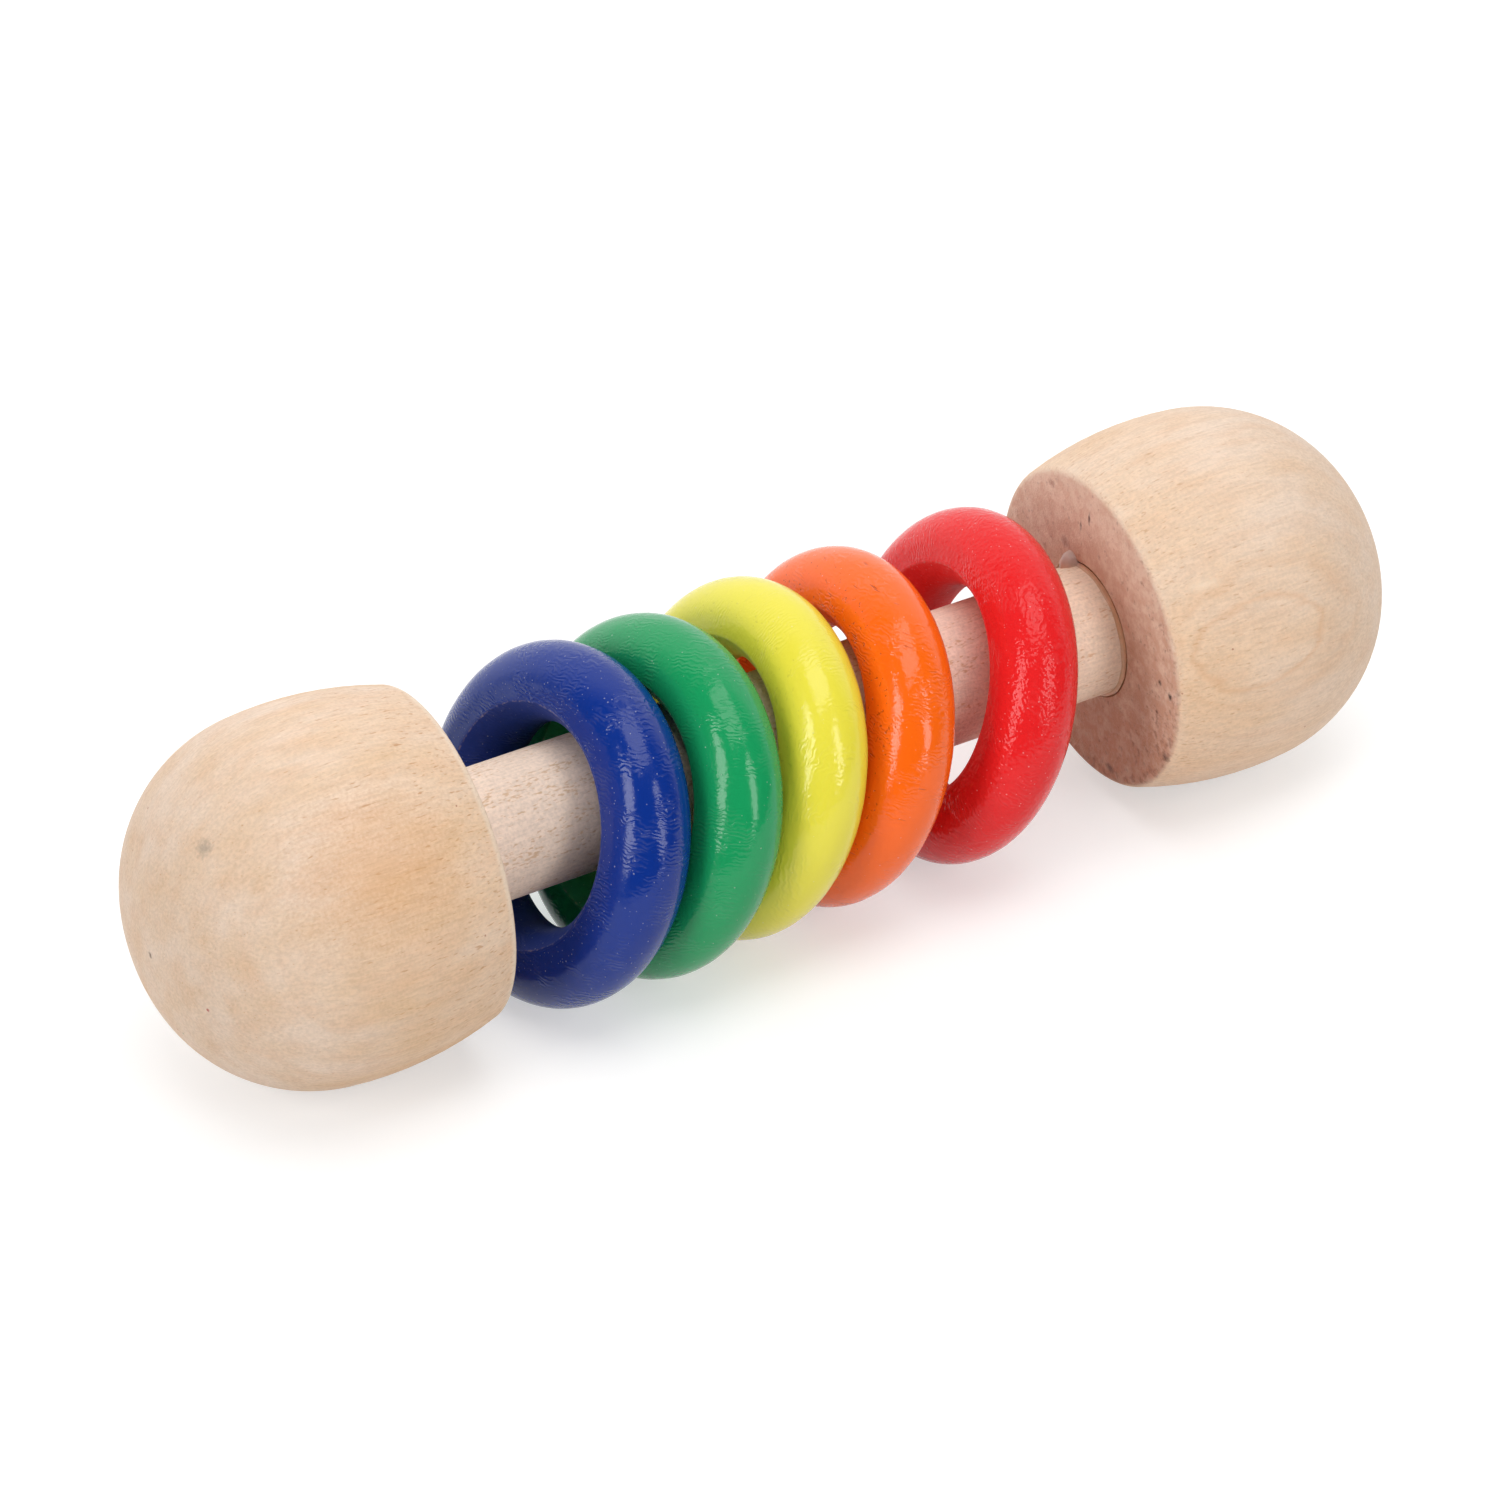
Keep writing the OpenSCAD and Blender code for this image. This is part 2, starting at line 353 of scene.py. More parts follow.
def blotched_birch(tree, colours, warm_wood, grain, along, height):
    """Pale wood with warmer blotches and peach streaks: its colour, and the noise of the streaks."""
    drawn_out = add(tree, "ShaderNodeMapping", {"Vector": grain, "Scale": repeats(BLOTCH)})
    blotch = add(tree, "ShaderNodeTexNoise", {"Vector": drawn_out.outputs[0], "Scale": 1.0, "Detail": 3.0})
    # The crown and the top are paler, and the flank towards the rim has the colour of honey
    flank = add(tree, "ShaderNodeMapRange", {
        "Value": along, "From Min": 66, "From Max": 46, "To Min": -0.12, "To Max": 0.14})
    warmth = add(tree, "ShaderNodeMath", {0: blotch.outputs["Fac"], 1: flank.outputs[0]}, operation="ADD")
    upper = add(tree, "ShaderNodeMapRange", {
        "Value": height, "From Min": 30, "From Max": 39, "To Max": 0.14})
    warmth = add(tree, "ShaderNodeMath", {0: warmth.outputs[0], 1: upper.outputs[0]}, operation="SUBTRACT")
    warm = add(tree, "ShaderNodeMapRange", {"Value": warmth.outputs[0], "From Min": 0.24, "From Max": 0.76})
    wood = add(tree, "ShaderNodeMix", {
        0: warm.outputs[0], 6: opaque(colours.birch_pale), 7: opaque(warm_wood)}, data_type="RGBA")
    # Peach streaks, where denser wood lies close to the surface
    drawn_out = add(tree, "ShaderNodeMapping", {
        "Vector": grain, "Scale": repeats(PEACH_STREAK), "Location": (3.1, 0.7, 5.2)})
    streaks = add(tree, "ShaderNodeTexNoise", {
        "Vector": drawn_out.outputs[0], "Scale": 1.0, "Detail": 3.0}).outputs["Fac"]
    peachy = add(tree, "ShaderNodeMapRange", {
        "Value": streaks, "From Min": 0.45, "From Max": 0.75, "To Max": 0.32})
    wood = add(tree, "ShaderNodeMix", {
        0: peachy.outputs[0], 6: wood.outputs[2], 7: opaque(linear(PEACH_WOOD))}, data_type="RGBA")
    return wood, streaks


def end_grain(tree, colours, grain, along, height):
    """The flat face, pinkish brown and mottled: its colour, where it lies, and its mottling."""
    mottle = add(tree, "ShaderNodeTexNoise", {
        "Vector": grain, "Scale": 1 / FACE_MOTTLE, "Detail": 6.0, "Roughness": 0.72}).outputs["Fac"]
    ragged_edge = add(tree, "ShaderNodeMath", {0: along, 1: mottle}, operation="ADD")
    on_face = add(tree, "ShaderNodeMapRange", {
        "Value": ragged_edge.outputs[0], "From Min": KNOB_FACE / MM + 0.85,
        "From Max": KNOB_FACE / MM + 0.55}).outputs[0]
    # It is browner and darker towards the bottom: partly the end grain's own colour, and partly painted
    # shade, as less light reaches the lower face
    low = add(tree, "ShaderNodeMapRange", {
        "Value": height, "From Min": 36, "From Max": 4, "To Min": -0.3, "To Max": 0.3})
    brown = add(tree, "ShaderNodeMath", {0: mottle, 1: 2.0, 2: low.outputs[0]}, operation="MULTIPLY_ADD")
    browned_and_shaded = add(tree, "ShaderNodeMapRange", {
        "Value": brown.outputs[0], "From Min": 0.65, "From Max": 1.35})
    wood = add(tree, "ShaderNodeMix", {
        0: browned_and_shaded.outputs[0], 6: opaque(colours.face_pale), 7: opaque(colours.face_brown_shaded)},
        data_type="RGBA")
    # Pits are thickest beside the rim at the lower front, where the cut tore
    pits = add(tree, "ShaderNodeTexNoise", {"Vector": grain, "Scale": 1 / FACE_PIT, "Detail": 2.0})
    sound = add(tree, "ShaderNodeMapping", {
        "Vector": grain, "Scale": (0, 1, 1), "Location": (0, -SOUND_Y, -SOUND_Z)})
    off_sound = add(tree, "ShaderNodeVectorMath", {0: sound.outputs[0]}, operation="LENGTH")
    tearing = add(tree, "ShaderNodeMapRange", {
        "Value": off_sound.outputs["Value"], "From Min": 16, "From Max": 23, "To Max": 0.11})
    torn_pits = add(tree, "ShaderNodeMath", {0: pits.outputs["Fac"], 1: tearing.outputs[0]}, operation="ADD")
    pitted = add(tree, "ShaderNodeMapRange", {
        "Value": torn_pits.outputs[0], "From Min": 0.62, "From Max": 0.8, "To Max": 0.5})
    wood = add(tree, "ShaderNodeMix", {
        0: pitted.outputs[0], 6: wood.outputs[2], 7: opaque(linear(FACE_PIT_BROWN))}, data_type="RGBA")
    return wood, on_face, mottle


def knob_birch(name, colours, warm_wood, pith, growth, rim_highlight_level, pore_level, loops, marks):
    """Birch turned on a lathe and sanded: pale and matt, with honey blotches, streaks and torn pores."""
    made, tree, shader = finish(name)
    grain, fibres, grit = birch_figure(tree)
    axis = add(tree, "ShaderNodeSeparateXYZ", {0: grain})
    height = axis.outputs["Z"]
    along = add(tree, "ShaderNodeMath", {0: axis.outputs["X"]}, operation="ABSOLUTE").outputs[0]
    wood, streaks = blotched_birch(tree, colours, warm_wood, grain, along, height)
    # Growth layers lie round a pith far outside the piece, so they are almost flat
    centred = add(tree, "ShaderNodeMapping", {"Vector": grain, "Location": pith})
    layers = add(tree, "ShaderNodeTexWave", {
        "Vector": centred.outputs[0], "Scale": WAVE / GROWTH_LAYER,
        "Distortion": 1.6, "Detail": 2.0, "Detail Scale": 0.6},
        wave_type="RINGS", rings_direction="X", wave_profile="SAW")
    late = add(tree, "ShaderNodeMapRange", {
        "Value": layers.outputs["Fac"], "From Min": 0.5, "From Max": 1.0, "To Max": growth},
        interpolation_type="SMOOTHSTEP")
    wood = add(tree, "ShaderNodeMix", {
        0: late.outputs[0], 6: wood.outputs[2], 7: opaque(linear(LATE_WOOD))}, data_type="RGBA")
    # Fibres and grit make fine tones
    tones = add(tree, "ShaderNodeMath", {0: fibres, 1: 1.6, 2: grit}, operation="MULTIPLY_ADD").outputs[0]
    shade = add(tree, "ShaderNodeMapRange", {
        "Value": tones, "From Min": 1.0, "From Max": 1.6, "To Min": 0.92, "To Max": 1.06})
    # The crown is darker: partly end grain, which takes up more oil, and partly painted shade that tones
    # down the left softbox's light on it
    crown = add(tree, "ShaderNodeMapRange", {
        "Value": along, "From Min": 54, "From Max": 70, "To Min": 1.0, "To Max": 0.86})
    shade = add(tree, "ShaderNodeMath", {0: shade.outputs[0], 1: crown.outputs[0]}, operation="MULTIPLY")
    wood = add(tree, "ShaderNodeMix", {
        0: 1.0, 6: wood.outputs[2], 7: shade.outputs[0]}, data_type="RGBA", blend_type="MULTIPLY")
    # Torn pores are thickest near the rim
    drawn_out = add(tree, "ShaderNodeMapping", {"Vector": grain, "Scale": repeats(KNOB_PORE)})
    pores = add(tree, "ShaderNodeTexNoise", {"Vector": drawn_out.outputs[0], "Scale": 1.0, "Detail": 1.5})
    torn = add(tree, "ShaderNodeMapRange", {
        "Value": along, "From Min": 40, "From Max": 60, "To Min": 0.59, "To Max": 0.68})
    deep = add(tree, "ShaderNodeMath", {0: pores.outputs["Fac"], 1: torn.outputs[0]}, operation="SUBTRACT")
    pore = add(tree, "ShaderNodeMapRange", {
        "Value": deep.outputs[0], "From Max": 0.12, "To Max": pore_level})
    wood = add(tree, "ShaderNodeMix", {
        0: pore.outputs[0], 6: wood.outputs[2], 7: opaque(linear(KNOB_PORE_TAN))}, data_type="RGBA")
    # A few freckles of paint dust, red or green, about 0.25 mm across
    dots = add(tree, "ShaderNodeTexVoronoi", {"Vector": grain, "Scale": 1 / FRECKLE_CELL}, feature="F1")
    dot_tint = add(tree, "ShaderNodeSeparateColor", {0: dots.outputs["Color"]})
    greenish = add(tree, "ShaderNodeMapRange", {
        "Value": dot_tint.outputs[1], "From Min": 0.7, "From Max": 0.72})
    dot_colour = add(tree, "ShaderNodeMix", {
        0: greenish.outputs[0], 6: opaque(linear(RED_FRECKLE)), 7: opaque(linear(GREEN_FRECKLE))},
        data_type="RGBA")
    freckle = add(tree, "ShaderNodeMapRange", {
        "Value": dots.outputs["Distance"], "From Min": 0.036, "From Max": 0.026, "To Max": 0.7})
    wood = add(tree, "ShaderNodeMix", {
        0: freckle.outputs[0], 6: wood.outputs[2], 7: dot_colour.outputs[2]}, data_type="RGBA")
    # A growth layer that is cut flat shows as a wavy loop
    for middle, half, strength in loops:
        reach = off_spot(tree, grain, middle, half)
        wavy = add(tree, "ShaderNodeMath", {0: streaks, 1: 0.5, 2: reach}, operation="MULTIPLY_ADD")
        off_line = add(tree, "ShaderNodeMath", {0: wavy.outputs[0], 1: 1.25}, operation="SUBTRACT")
        off_line = add(tree, "ShaderNodeMath", {0: off_line.outputs[0]}, operation="ABSOLUTE")
        loop = add(tree, "ShaderNodeMapRange", {
            "Value": off_line.outputs[0], "From Min": 0.11, "From Max": 0.0, "To Max": strength})
        wood = add(tree, "ShaderNodeMix", {
            0: loop.outputs[0], 6: wood.outputs[2], 7: opaque(linear(LOOP_WOOD))}, data_type="RGBA")
    # Painted highlight: the broken edge round the face is drawn pale, where light catches it
    rim = add(tree, "ShaderNodeMapRange", {
        "Value": along, "From Min": KNOB_FACE / MM + 1.0, "From Max": KNOB_FACE / MM + 0.6,
        "To Max": rim_highlight_level})
    wood = add(tree, "ShaderNodeMix", {
        0: rim.outputs[0], 6: wood.outputs[2], 7: opaque(linear(RIM_HIGHLIGHT))}, data_type="RGBA")
    face_wood, on_face, mottle = end_grain(tree, colours, grain, along, height)
    wood = add(tree, "ShaderNodeMix", {
        0: on_face, 6: wood.outputs[2], 7: face_wood.outputs[2]}, data_type="RGBA")
    # Single marks, each a soft spot with a ragged edge
    for middle, half, code, strength in marks:
        reach = off_spot(tree, grain, middle, half)
        ragged = add(tree, "ShaderNodeMath", {0: reach, 1: grit}, operation="ADD")
        stain = add(tree, "ShaderNodeMapRange", {
            "Value": ragged.outputs[0], "From Min": 1.6, "From Max": 0.7, "To Max": strength})
        wood = add(tree, "ShaderNodeMix", {
            0: stain.outputs[0], 6: wood.outputs[2], 7: opaque(linear(code))}, data_type="RGBA")
    tree.links.new(wood.outputs[2], shader.inputs["Base Color"])
    # Sanding leaves the paler fibres smoother
    sanded = add(tree, "ShaderNodeMapRange", {
        "Value": tones, "From Min": 1.0, "From Max": 1.6, "To Min": 0.7, "To Max": 0.54})
    tree.links.new(sanded.outputs[0], shader.inputs["Roughness"])
    # Pores are sunk, fibres stand up, and the face is rough
    relief = add(tree, "ShaderNodeBump", {
        "Height": deep.outputs[0], "Strength": 0.6, "Distance": -0.12 * MM})
    relief = add(tree, "ShaderNodeBump", {
        "Height": tones, "Strength": 0.6, "Distance": 0.07 * MM, "Normal": relief.outputs[0]})
    rough_face = add(tree, "ShaderNodeMath", {0: mottle, 1: on_face}, operation="MULTIPLY")
    relief = add(tree, "ShaderNodeBump", {
        "Height": rough_face.outputs[0], "Strength": 0.7, "Distance": 0.25 * MM,
        "Normal": relief.outputs[0]})
    tree.links.new(relief.outputs[0], shader.inputs["Normal"])
    return made


def dowel_birch(name, colours):
    """A planed birch dowel: paler and pinker than the knobs, finely grained, with open tan pores in rows."""
    made, tree, shader = finish(name)
    grain, fibres, grit = birch_figure(tree)
    axis = add(tree, "ShaderNodeSeparateXYZ", {0: grain})
    # The middle is pinker, a painted reflection of the light that the orange and red rings throw on it, and
    # the right end yellower
    pink_bounce = add(tree, "ShaderNodeMapRange", {
        "Value": axis.outputs["X"], "From Min": -8, "From Max": 10, "To Max": 0.2})
    wood = add(tree, "ShaderNodeMix", {
        0: pink_bounce.outputs[0], 6: opaque(colours.dowel), 7: opaque(linear(PINK_BOUNCE_WOOD))}, data_type="RGBA")
    yellow = add(tree, "ShaderNodeMapRange", {
        "Value": axis.outputs["X"], "From Min": 22, "From Max": 36, "To Max": 0.7})
    wood = add(tree, "ShaderNodeMix", {
        0: yellow.outputs[0], 6: wood.outputs[2], 7: opaque(linear(YELLOW_WOOD))}, data_type="RGBA")
    tones = add(tree, "ShaderNodeMath", {0: grit, 1: fibres}, operation="ADD").outputs[0]
    shade = add(tree, "ShaderNodeMapRange", {
        "Value": tones, "From Min": 0.75, "From Max": 1.25, "To Min": 0.9, "To Max": 1.1})
    wood = add(tree, "ShaderNodeMix", {
        0: 1.0, 6: wood.outputs[2], 7: shade.outputs[0]}, data_type="RGBA", blend_type="MULTIPLY")
    # Pores lie in rows along the grain
    row_place = add(tree, "ShaderNodeMapping", {"Vector": grain, "Scale": repeats(PORE_ROW)})
    rows = add(tree, "ShaderNodeTexNoise", {"Vector": row_place.outputs[0], "Scale": 1.0, "Detail": 2.0})
    where = add(tree, "ShaderNodeMapRange", {
        "Value": rows.outputs["Fac"], "From Min": 0.4, "From Max": 0.62, "To Min": 0.7, "To Max": 0.52})
    drawn_out = add(tree, "ShaderNodeMapping", {"Vector": grain, "Scale": repeats(DOWEL_PORE)})
    pores = add(tree, "ShaderNodeTexNoise", {"Vector": drawn_out.outputs[0], "Scale": 1.0, "Detail": 1.5})
    deep = add(tree, "ShaderNodeMath", {0: pores.outputs["Fac"], 1: where.outputs[0]}, operation="SUBTRACT")
    pore = add(tree, "ShaderNodeMapRange", {"Value": deep.outputs[0], "From Max": 0.12, "To Max": 0.6})
    wood = add(tree, "ShaderNodeMix", {
        0: pore.outputs[0], 6: wood.outputs[2], 7: opaque(linear(DOWEL_PORE_TAN))}, data_type="RGBA")
    tree.links.new(wood.outputs[2], shader.inputs["Base Color"])
    # Planing leaves the paler fibres smoother
    planed = add(tree, "ShaderNodeMapRange", {
        "Value": tones, "From Min": 0.75, "From Max": 1.25, "To Min": 0.7, "To Max": 0.54})
    tree.links.new(planed.outputs[0], shader.inputs["Roughness"])
    relief = add(tree, "ShaderNodeBump", {
        "Height": deep.outputs[0], "Strength": 0.5, "Distance": -0.12 * MM})
    relief = add(tree, "ShaderNodeBump", {
        "Height": tones, "Strength": 0.6, "Distance": 0.09 * MM, "Normal": relief.outputs[0]})
    tree.links.new(relief.outputs[0], shader.inputs["Normal"])
    return made


def cured_glue(name, colours):
    """White wood glue: an amber line where it is thin, and milky where it stands in a drop on top."""
    made, tree, shader = finish(name)
    place = add(tree, "ShaderNodeTexCoord").outputs["Object"]
    cloud = add(tree, "ShaderNodeTexNoise", {"Vector": place, "Scale": 1 / GLUE_CLOUD, "Detail": 3.0})
    apart = add(tree, "ShaderNodeVectorMath", {0: place, 1: DROP_PLACE}, operation="DISTANCE")
    milky = add(tree, "ShaderNodeMapRange", {
        "Value": apart.outputs["Value"], "From Min": 2.2 * MM, "From Max": 1.2 * MM})
    tint = add(tree, "ShaderNodeMix", {
        0: milky.outputs[0], 6: opaque(linear(AMBER_GLUE)), 7: opaque(colours.glue)}, data_type="RGBA")
    mottled = add(tree, "ShaderNodeMapRange", {
        "Value": cloud.outputs["Fac"], "From Min": 0.3, "From Max": 0.7, "To Min": 0.85, "To Max": 1.08})
    tint = add(tree, "ShaderNodeMix", {
        0: 1.0, 6: tint.outputs[2], 7: mottled.outputs[0]}, data_type="RGBA", blend_type="MULTIPLY")
    tree.links.new(tint.outputs[2], shader.inputs["Base Color"])
    shader.inputs["Roughness"].default_value = GLUE_ROUGHNESS
    return made


def lacquer_flaws(tree, local, place, patches, cracks):
    """Short dark cracks along the grain, and pits beside the left mouth of the bore: how much they show."""
    # Cells are drawn out to about 4 by 0.45 mm
    drawn_out = add(tree, "ShaderNodeMapping", {"Vector": place, "Scale": (0.35, 0.35, 3.2)})
    split = add(tree, "ShaderNodeTexVoronoi", {"Vector": drawn_out.outputs[0], "Scale": 0.7}, feature="F1")
    crack = add(tree, "ShaderNodeMapRange", {
        "Value": split.outputs["Distance"], "From Min": 0.18, "From Max": 0.1, "To Max": 0.6 * cracks})
    crack = add(tree, "ShaderNodeMath", {0: crack.outputs[0], 1: patches}, operation="MULTIPLY")
    side = add(tree, "ShaderNodeSeparateXYZ", {0: local})
    level = add(tree, "ShaderNodeMapRange", {
        "Value": side.outputs["X"], "From Min": -2 * MM, "From Max": -4.2 * MM,
        "To Min": 0.9, "To Max": 0.67})
    holes = add(tree, "ShaderNodeTexNoise", {"Vector": place, "Scale": 1 / EDGE_PIT, "Detail": 1.0})
    hole = add(tree, "ShaderNodeMath", {0: holes.outputs["Fac"], 1: level.outputs[0]}, operation="SUBTRACT")
    pit = add(tree, "ShaderNodeMapRange", {
        "Value": hole.outputs[0], "From Max": 0.06, "To Max": 0.5 * cracks})
    return add(tree, "ShaderNodeMath", {
        0: crack.outputs[0], 1: pit.outputs[0]}, operation="MAXIMUM").outputs[0]


def ring_lacquer(name, colour, grain_angle, roughness, specular, folds, pebble, dust, cracks, shift):
    """Gloss lacquer brushed on turned wood: bright, curled into folds over the grain, pebbled and dusty."""
    made, tree, shader = finish(name)
    local = add(tree, "ShaderNodeAttribute", attribute_name="ring_local", attribute_type="GEOMETRY")
    local = local.outputs["Vector"]
    place = add(tree, "ShaderNodeMapping", {
        "Vector": local, "Scale": IN_MM, "Rotation": (radians(grain_angle), 0, 0),
        "Location": (shift, 2.3 * shift, -1.7 * shift)}).outputs[0]
    # Folds curl in patches
    curls = add(tree, "ShaderNodeTexWave", {
        "Vector": place, "Scale": WAVE / FOLD, "Distortion": 8.0, "Detail": 1.0, "Detail Scale": 1.2},
        wave_type="BANDS", bands_direction="Z", wave_profile="SIN")
    spread = add(tree, "ShaderNodeTexNoise", {"Vector": place, "Scale": 1 / FOLD_PATCH, "Detail": 3.0})
    patches = add(tree, "ShaderNodeMapRange", {
        "Value": spread.outputs["Fac"], "From Min": 0.45, "From Max": 0.62}).outputs[0]
    curled = add(tree, "ShaderNodeMath", {0: curls.outputs["Fac"], 1: patches}, operation="MULTIPLY")
    peel = add(tree, "ShaderNodeTexNoise", {"Vector": place, "Scale": 1 / PEBBLE, "Detail": 1.0})
    # Dust specks up to 0.25 mm across, of all sizes
    specks = add(tree, "ShaderNodeTexVoronoi", {"Vector": place, "Scale": 1 / DUST_CELL}, feature="F1")
    chance = add(tree, "ShaderNodeSeparateColor", {0: specks.outputs["Color"]})
    size = add(tree, "ShaderNodeMapRange", {
        "Value": chance.outputs[0], "From Min": 1 - 0.6 * dust, "From Max": 1.0, "To Max": 0.25})
    inside = add(tree, "ShaderNodeMath", {
        0: size.outputs[0], 1: specks.outputs["Distance"]}, operation="SUBTRACT")
    speck = add(tree, "ShaderNodeMapRange", {"Value": inside.outputs[0], "From Max": 0.14, "To Max": 0.55})
    pale = [c + 0.4 * (1 - c) for c in colour]
    tint = add(tree, "ShaderNodeMix", {
        0: speck.outputs[0], 6: opaque(colour), 7: opaque(pale)}, data_type="RGBA")
    # Painted highlight: folds are drawn paler, standing in for the light that their ridges catch
    ridge_highlights = add(tree, "ShaderNodeMapRange", {
        "Value": curled.outputs[0], "From Min": 0.3, "From Max": 1.0, "To Max": 0.1 * folds})
    tint = add(tree, "ShaderNodeMix", {
        0: ridge_highlights.outputs[0], 6: tint.outputs[2], 7: opaque(pale)}, data_type="RGBA")
    dark = [c * 0.25 for c in colour]
    flaw = lacquer_flaws(tree, local, place, patches, cracks)
    tint = add(tree, "ShaderNodeMix", {0: flaw, 6: tint.outputs[2], 7: opaque(dark)}, data_type="RGBA")
    # The edges of the bore are rubbed thin, so that a line of wood shows through
    edge = add(tree, "ShaderNodeAttribute", attribute_name="edge_wear", attribute_type="GEOMETRY")
    rubbed = add(tree, "ShaderNodeMath", {
        0: edge.outputs["Fac"], 1: peel.outputs["Fac"]}, operation="MULTIPLY")
    worn = add(tree, "ShaderNodeMapRange", {
        "Value": rubbed.outputs[0], "From Min": 0.38, "From Max": 0.55, "To Max": 0.22})
    tint = add(tree, "ShaderNodeMix", {
        0: worn.outputs[0], 6: tint.outputs[2], 7: opaque(linear(RUBBED_EDGE))}, data_type="RGBA")
    tree.links.new(tint.outputs[2], shader.inputs["Base Color"])
    # The bore is dull
    across = add(tree, "ShaderNodeMapping", {"Vector": local, "Scale": (0, 1, 1)})
    off = add(tree, "ShaderNodeVectorMath", {0: across.outputs[0]}, operation="LENGTH")
    dull = add(tree, "ShaderNodeMapRange", {
        "Value": off.outputs["Value"], "From Min": GLOSSY_PAST, "From Max": DULL_WITHIN,
        "To Min": roughness, "To Max": BORE_ROUGHNESS})
    tree.links.new(dull.outputs[0], shader.inputs["Roughness"])
    shader.inputs["Specular IOR Level"].default_value = specular
    # Folds, pebbling and specks stand up, and flaws are sunk
    relief = add(tree, "ShaderNodeBump", {
        "Height": curled.outputs[0], "Strength": 1.0, "Distance": 0.075 * MM * folds})
    relief = add(tree, "ShaderNodeBump", {
        "Height": peel.outputs["Fac"], "Strength": 1.0, "Distance": (0.01 + 0.12 * pebble) * MM,
        "Normal": relief.outputs[0]})
    relief = add(tree, "ShaderNodeBump", {
        "Height": speck.outputs[0], "Strength": 0.6, "Distance": 0.04 * MM, "Normal": relief.outputs[0]})
    relief = add(tree, "ShaderNodeBump", {
        "Height": flaw, "Strength": 0.8, "Distance": -0.08 * MM, "Normal": relief.outputs[0]})
    tree.links.new(relief.outputs[0], shader.inputs["Normal"])
    return made


def at(x, z):
    """A point of a section: along the axis and off it."""
    return Vector((x, 0, z))


def on_arc(centre, radius, towards):
    """The point of a circle that lies in the direction of another point."""
    return centre + radius * (towards - centre).normalized()


def outer_crossing(c0, r0, c1, r1):
    """Crossing of two circles that lies further from the axis."""
    apart = (c1 - c0).length
    along = (c1 - c0) / apart
    foot = (apart ** 2 + r0 ** 2 - r1 ** 2) / (2 * apart)
    across = at(-along.z, along.x) if along.x > 0 else at(along.z, -along.x)
    return c0 + foot * along + sqrt(r0 ** 2 - foot ** 2) * across


def draw_line(bm, start, end):
    """Extrude a vertex of a section to a point."""
    last = bmesh.ops.extrude_vert_indiv(bm, verts=[start])["verts"][0]
    last.co = end
    return last


def draw_arc(bm, start, centre, end, step=ARC_STEP):
    """Spin a vertex of a section round a centre to a point, the shorter way."""
    before = start.co - centre
    after = end - centre
    angle = remainder(atan2(before.z, before.x) - atan2(after.z, after.x), 2 * pi)
    swept = bmesh.ops.spin(
        bm, geom=[start], cent=centre, axis=(0, 1, 0), angle=angle, steps=max(3, round(abs(angle) / step)))
    last = next(item for item in swept["geom_last"] if isinstance(item, bmesh.types.BMVert))
    last.co = end
    return last


def turn_section(bm):
    """Turn a section about the X axis into a closed skin."""
    bmesh.ops.remove_doubles(bm, verts=bm.verts[:], dist=MERGE)
    bmesh.ops.spin(
        bm, geom=bm.verts[:] + bm.edges[:], cent=(0, 0, 0), axis=(1, 0, 0), angle=2 * pi, steps=TURNS,
        use_merge=True)
    bmesh.ops.remove_doubles(bm, verts=bm.verts[:], dist=MERGE)
    bmesh.ops.recalc_face_normals(bm, faces=bm.faces[:])


def make_piece(bm, name, material, body, node):
    """Turn a bmesh into a smooth piece that stands for a node and rides on its body."""
    mesh = bpy.data.meshes.new(name)
    bm.to_mesh(mesh)
    bm.free()
    mesh.shade_smooth()
    mesh.set_sharp_from_angle(angle=SHARP_ANGLE)
    mesh.materials.append(material)
    piece = bpy.data.objects.new(name, mesh)
    bpy.context.scene.collection.objects.link(piece)
    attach(piece, body)
    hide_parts(node)
    return piece


def at_end(bm, side):
    """Move a piece that was turned about X, facing the middle, to the right (1) or left (-1) end."""
    place = Matrix.Translation((side * KNOB_FACE, 0, AXIS_Z))
    if side < 0:
        place = place @ Matrix.Rotation(pi, 4, "Z")
    bm.transform(place)


class RATTLE_OT_dowel(bpy.types.Operator):
    """Add the dowel that joins the knobs"""

    bl_idname = "rattle.dowel"
    bl_label = "Add dowel"

    def execute(self, context):
        sizes = context.scene.rattle_sizes
        half = DOWEL_HIGH.x
        radius = sizes.dowel_radius
        chamfer = sizes.dowel_chamfer
        bm = bmesh.new()
        last = bm.verts.new(at(-half, 0))
        for x, z in ((-half, radius - chamfer), (chamfer - half, radius), (half - chamfer, radius),
                     (half, radius - chamfer), (half, 0)):
            last = draw_line(bm, last, at(x, z))
        turn_section(bm)
        bm.transform(Matrix.Translation((0, 0, AXIS_Z)))
        wood = dowel_birch("planed_birch", context.scene.rattle_colours)
        make_piece(bm, "dowel_rod", wood, "handle", "handle_dowel")
        return {"FINISHED"}


